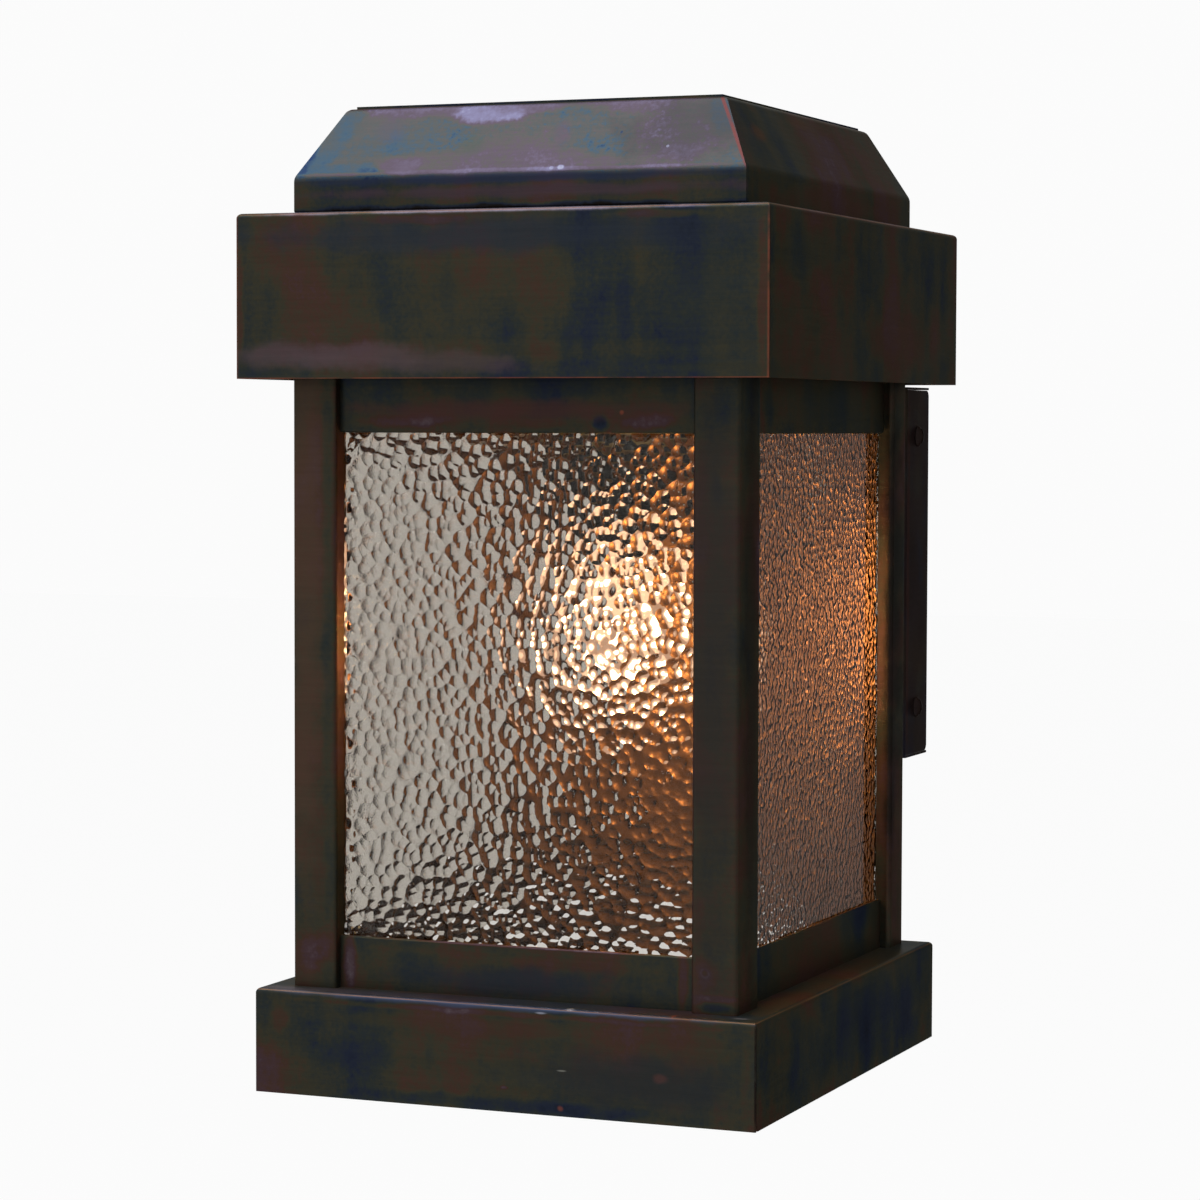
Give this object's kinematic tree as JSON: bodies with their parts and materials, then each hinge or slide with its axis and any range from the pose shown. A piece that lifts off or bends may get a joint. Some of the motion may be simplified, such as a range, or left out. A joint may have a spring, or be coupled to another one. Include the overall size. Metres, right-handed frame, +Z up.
{
  "type": "outdoor wall lantern",
  "caption": "Square outdoor wall lantern folded from sheet copper, with hammered glass on three sides, a hipped cap, a wall box and a screw-in lamp that is changed from below.",
  "frame": {"origin": "on the wall, at the middle of the wall bracket's rear face, level with the middle of the box at the back", "axes": "+X to the right seen from the front, +Y into the wall (the glass front faces -Y), +Z up"},
  "size_m": [0.2286, 0.2654, 0.4034],
  "materials": {
    "copper_patina": "dark heat-coloured copper patina, semi-gloss",
    "hammered_glass": "clear hammered glass",
    "zinc_steel": "zinc plated",
    "green_steel": "green zinc plated",
    "grommet_rubber": "matte black",
    "rivet_aluminium": "plain",
    "socket_brass": "dull brass",
    "socket_phenolic": "moulded black",
    "bulb_glass": "clear, lit from inside",
    "lamp_aluminium": "rolled thread",
    "black_glass": "black glass",
    "lamp_solder": "soldered tip",
    "hot_filament": "glowing"
  },
  "bodies": {
    "lantern": {"cap_top_plate": "copper_patina", "cap_hood": "copper_patina", "crown_band": "copper_patina", "front_left_post": "copper_patina", "front_right_post": "copper_patina", "back_shell": "copper_patina", "front_top_rail": "copper_patina", "front_bottom_rail": "copper_patina", "left_top_rail": "copper_patina", "left_bottom_rail": "copper_patina", "right_top_rail": "copper_patina", "right_bottom_rail": "copper_patina", "plinth": "copper_patina", "front_glass": "hammered_glass", "left_glass": "hammered_glass", "right_glass": "hammered_glass", "glass_clips": "copper_patina", "back_box": "copper_patina", "back_box_rivets": "copper_patina", "wall_bracket": "zinc_steel", "side_screws": "copper_patina", "ground_screw": "green_steel", "wire_grommet": "grommet_rubber", "lamp_crossbar": "zinc_steel", "crossbar_rivets": "rivet_aluminium", "socket_nipple": "zinc_steel", "socket_locknuts": "zinc_steel", "socket_cap": "socket_brass", "socket_body": "socket_phenolic", "terminal_screws": "socket_brass", "socket_shell": "socket_brass", "socket_contact": "socket_brass"},
    "lamp_centre": {"lamp_contact": "lamp_solder"},
    "lamp": {"lamp_glass": "bulb_glass", "lamp_cap": "lamp_aluminium", "lamp_insulator": "black_glass", "lamp_stem": "bulb_glass", "lamp_filament": "hot_filament"}
  },
  "joints": [
    {"name": "lamp_travel", "type": "slide", "parent": "lantern", "child": "lamp_centre", "axis": [0, 0, -1], "range_m": [0, 0.01816]},
    {"name": "lamp_turn", "type": "hinge", "parent": "lamp_centre", "child": "lamp", "pos_m": [0, -0.14225, 0.0504], "axis": [0, 0, -1], "range_deg": [0, 1800]}
  ],
  "couplings": [
    {"joint": "lamp_travel", "follows": "lamp_turn", "m_per_rad": 0.00057757}
  ]
}
